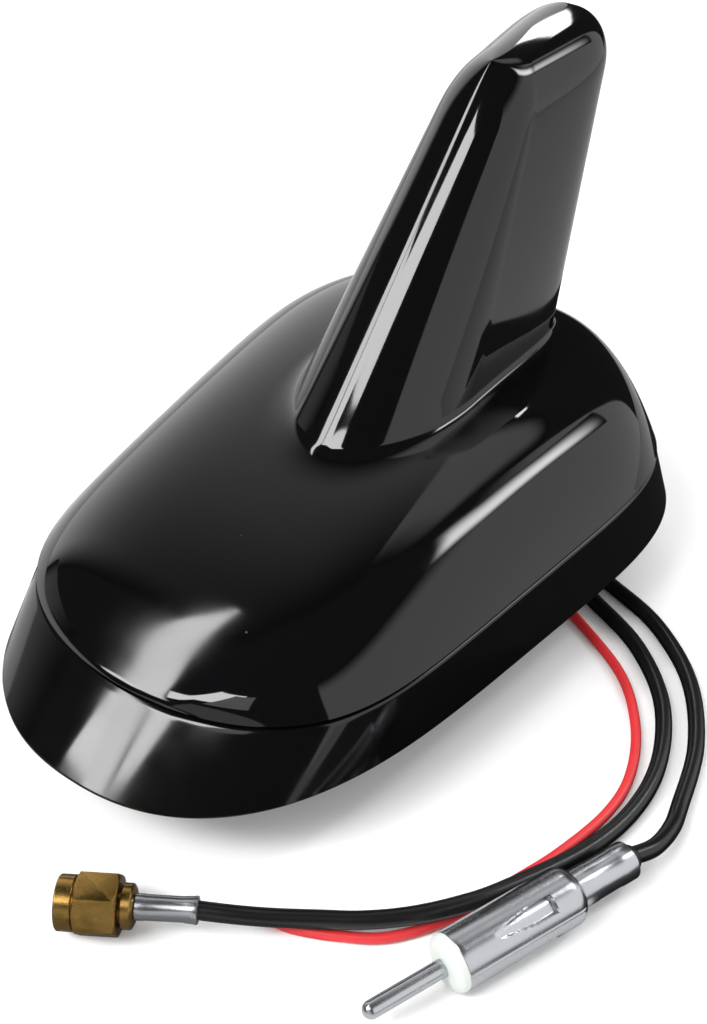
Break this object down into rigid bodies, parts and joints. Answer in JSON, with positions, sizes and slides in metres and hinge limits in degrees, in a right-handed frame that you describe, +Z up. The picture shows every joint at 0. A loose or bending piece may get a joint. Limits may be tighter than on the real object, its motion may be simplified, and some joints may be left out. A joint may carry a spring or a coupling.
{
  "type": "vehicle roof aerial",
  "caption": "Shark fin roof aerial: a glossy domed housing with a swept fin on a flared skirt, with a threaded roof stud and coaxial and supply leads that end in plugs.",
  "frame": {"origin": "on the surface that the roof nut stands on, under the middle of the body's length and width", "axes": "+Z up out of the roof, -Y towards the nose, +X towards the side where the leads leave"},
  "size_m": [0.1112, 0.1413, 0.0835],
  "materials": {
    "gloss_black": "high gloss moulded",
    "skirt_black": "gloss moulded",
    "cast_plate": "die cast",
    "gasket_rubber": "matte",
    "plated_steel": "zinc plated",
    "screw_steel": "plated",
    "board": "solder mask",
    "patch_ceramic": "fired ceramic",
    "patch_silver": "silvered",
    "tinplate": "tinned",
    "socket_black": "matte",
    "copper": "bare copper",
    "coax_black": "extruded",
    "wire_red": "extruded",
    "tinned_copper": "tinned",
    "gold_plate": "plated and handled",
    "ptfe": "turned",
    "nickel_plate": "nickel plated",
    "plug_white": "moulded",
    "bush_black": "moulded"
  },
  "bodies": {
    "aerial": {"housing": "gloss_black", "skirt_ring": "skirt_black", "base_plate": "cast_plate", "base_gasket": "gasket_rubber", "roof_stud": "plated_steel", "claw_washer": "plated_steel", "roof_nut": "plated_steel", "case_screws": "screw_steel", "circuit_board": "board", "board_screws": "screw_steel", "gps_patch": "patch_ceramic", "patch_face": "patch_silver", "shield_can": "tinplate", "fin_socket": "socket_black", "fin_board": "board", "fin_track": "copper", "coax_sma": "coax_black", "coax_din": "coax_black", "red_wire": "wire_red", "red_wire_end": "tinned_copper", "sma_body": "gold_plate", "sma_insulator": "ptfe", "sma_pin": "gold_plate", "sma_ferrule": "nickel_plate", "din_pin": "nickel_plate", "din_insulator": "plug_white", "din_barrel": "nickel_plate", "din_sleeve": "nickel_plate", "din_bush": "bush_black"},
    "coupling_nut": {"sma_nut": "gold_plate"}
  },
  "joints": [
    {"name": "sma_nut_spin", "type": "hinge", "parent": "aerial", "child": "coupling_nut", "pos_m": [0.0084, -0.0748, 0.00462], "axis": [0.8434, 0.5373, 0], "continuous": true}
  ]
}
